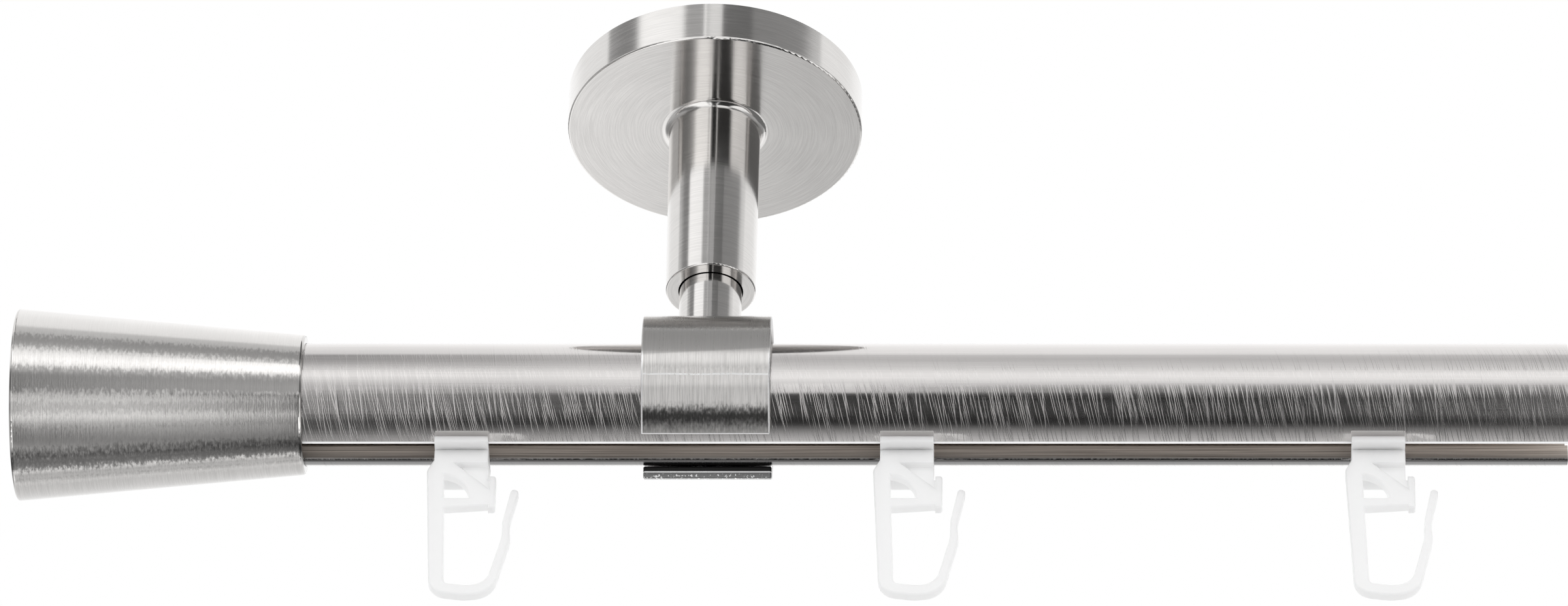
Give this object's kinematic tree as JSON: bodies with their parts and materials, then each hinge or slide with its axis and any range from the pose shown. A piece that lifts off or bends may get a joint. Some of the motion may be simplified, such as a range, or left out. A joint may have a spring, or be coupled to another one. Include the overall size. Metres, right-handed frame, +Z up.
{
  "type": "inner track curtain rod",
  "caption": "Ceiling-mounted slotted curtain rod with inner track, round plate and stem, C-shaped clamp ring, conical finial and sliding gliders with pleat hooks.",
  "frame": {"origin": "centre of the mounting disc's flat face on the ceiling", "axes": "+X along the rod towards its open end, +Y away from the viewer of the picture, +Z up into the ceiling"},
  "size_m": [0.2524, 0.049, 0.1052],
  "materials": {
    "plate_steel": "brushed in circles",
    "pin_steel": "turned and brushed",
    "ring_steel": "brushed",
    "rod_steel": "brushed along and across",
    "finial_steel": "turned and brushed",
    "disc_zinc": "zinc plated",
    "screw_steel": "zinc plated, darker",
    "glider_plastic": "moulded, satin",
    "hook_plastic": "moulded, satin"
  },
  "bodies": {
    "mounting": {"mounting_disc": "disc_zinc"},
    "bracket": {"ceiling_plate": "plate_steel", "plate_grub_screw": "screw_steel", "socket_grub_screw": "screw_steel"},
    "clamp": {"clamp_pin": "pin_steel", "clamp_ring": "ring_steel", "clamp_screw": "screw_steel", "rod_grub_screw": "screw_steel"},
    "track": {"rod": "rod_steel", "finial": "finial_steel", "finial_grub_screw": "screw_steel"},
    "glider_1": {"glider_1": "glider_plastic"},
    "hook_1": {"hook_1": "hook_plastic"},
    "glider_2": {"glider_2": "glider_plastic"},
    "hook_2": {"hook_2": "hook_plastic"},
    "glider_3": {"glider_3": "glider_plastic"},
    "hook_3": {"hook_3": "hook_plastic"}
  },
  "joints": [
    {"name": "plate_turn", "type": "hinge", "parent": "mounting", "child": "bracket", "pos_m": [0, 0, 0], "axis": [0, 0, 1], "continuous": true},
    {"name": "height_slide", "type": "slide", "parent": "bracket", "child": "clamp", "axis": [0, 0, 1], "range_m": [-0.01, 0.008]},
    {"name": "rod_slide", "type": "slide", "parent": "clamp", "child": "track", "axis": [1, 0, 0], "range_m": [-0.06, 0.05]},
    {"name": "glider_1_slide", "type": "slide", "parent": "track", "child": "glider_1", "axis": [1, 0, 0], "range_m": [-0.0194, 0.026]},
    {"name": "hook_1_swivel", "type": "hinge", "parent": "glider_1", "child": "hook_1", "pos_m": [-0.0396, 0, -0.07603], "axis": [0, 0, 1], "continuous": true},
    {"name": "glider_2_slide", "type": "slide", "parent": "track", "child": "glider_2", "axis": [1, 0, 0], "range_m": [-0.026, 0.0281]},
    {"name": "hook_2_swivel", "type": "hinge", "parent": "glider_2", "child": "hook_2", "pos_m": [0.0326, 0, -0.07603], "axis": [0, 0, 1], "continuous": true},
    {"name": "glider_3_slide", "type": "slide", "parent": "track", "child": "glider_3", "axis": [1, 0, 0], "range_m": [-0.0281, 0.025]},
    {"name": "hook_3_swivel", "type": "hinge", "parent": "glider_3", "child": "hook_3", "pos_m": [0.109, 0, -0.07603], "axis": [0, 0, 1], "continuous": true}
  ]
}
